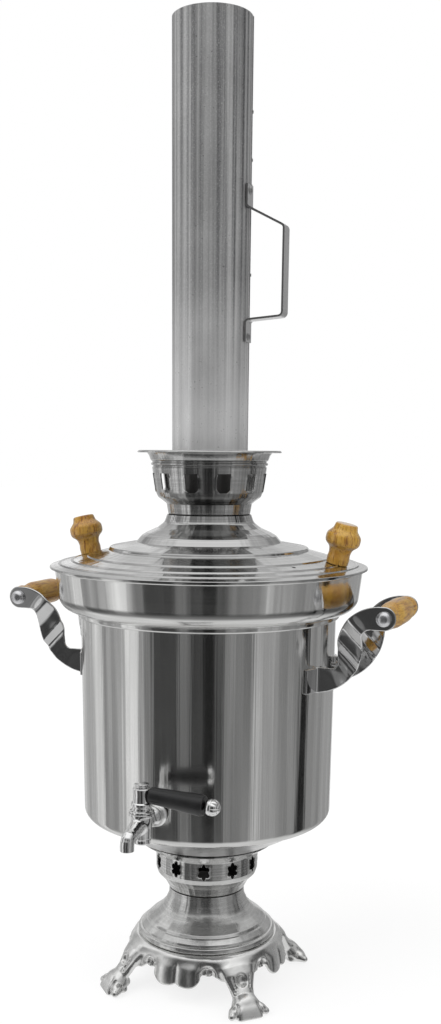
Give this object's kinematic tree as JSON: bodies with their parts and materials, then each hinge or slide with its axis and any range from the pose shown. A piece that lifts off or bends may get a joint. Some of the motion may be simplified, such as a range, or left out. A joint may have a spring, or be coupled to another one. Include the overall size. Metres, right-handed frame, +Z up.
{
  "type": "samovar",
  "caption": "Charcoal samovar: polished tank on a cast paw-footed stand, with a lid, a teapot crown, a lift-off chimney, bracketed side handles and a plug-cock tap.",
  "frame": {"origin": "the tank's axis on the floor", "axes": "+Z up along the tank's axis, -Y towards the tap's spout, +X towards the handle on the right of the tap"},
  "size_m": [0.335, 0.2916, 0.762],
  "materials": {
    "cast_base": "satin cast",
    "polished_steel": "polished",
    "fire_steel": "dull",
    "galvanised": "galvanised",
    "bracket_steel": "polished",
    "grate_iron": "rough",
    "wood": "varnished",
    "fixings": "plain",
    "chrome": "bright",
    "black_plastic": "gloss",
    "gasket": "matte"
  },
  "bodies": {
    "tank": {"foot_base": "cast_base", "base_screws": "fixings", "base_nuts": "fixings", "pedestal": "polished_steel", "vent_collar": "polished_steel", "grate": "grate_iron", "lower_dome": "polished_steel", "body_shell": "polished_steel", "upper_bowl": "polished_steel", "fire_tube": "fire_steel", "handle_arm_right_front": "bracket_steel", "handle_arm_right_rear": "bracket_steel", "handle_arm_left_front": "bracket_steel", "handle_arm_left_rear": "bracket_steel", "handle_grip_right": "wood", "handle_grip_left": "wood", "handle_rod_right": "fixings", "handle_rod_left": "fixings", "handle_cap_nuts": "chrome", "handle_rivets": "fixings", "tap_gasket": "gasket", "tap_rosette": "chrome", "tap_body": "chrome", "tap_lock_nut": "fixings"},
    "lid": {"lid": "polished_steel", "lid_knob_left": "wood", "lid_knob_right": "wood", "lid_knob_screws": "fixings"},
    "crown": {"crown": "polished_steel"},
    "chimney": {"chimney_pipe": "galvanised", "chimney_handle": "galvanised", "chimney_rivets": "fixings"},
    "tap_cock": {"tap_plug": "chrome", "tap_plug_nut": "chrome", "tap_lever_rod": "fixings", "tap_lever_grip": "black_plastic", "tap_lever_ball": "chrome", "tap_top_cap": "chrome"}
  },
  "joints": [
    {"name": "lid_lift", "type": "slide", "parent": "tank", "child": "lid", "axis": [0, 0, 1], "range_m": [0, 0.12]},
    {"name": "crown_lift", "type": "slide", "parent": "lid", "child": "crown", "axis": [0, 0, 1], "range_m": [0, 0.08]},
    {"name": "chimney_lift", "type": "slide", "parent": "crown", "child": "chimney", "axis": [0, 0, 1], "range_m": [0, 0.1]},
    {"name": "tap_turn", "type": "hinge", "parent": "tank", "child": "tap_cock", "pos_m": [0, -0.131, 0.1805], "axis": [0, 0, 1], "range_deg": [-180, 0]}
  ]
}
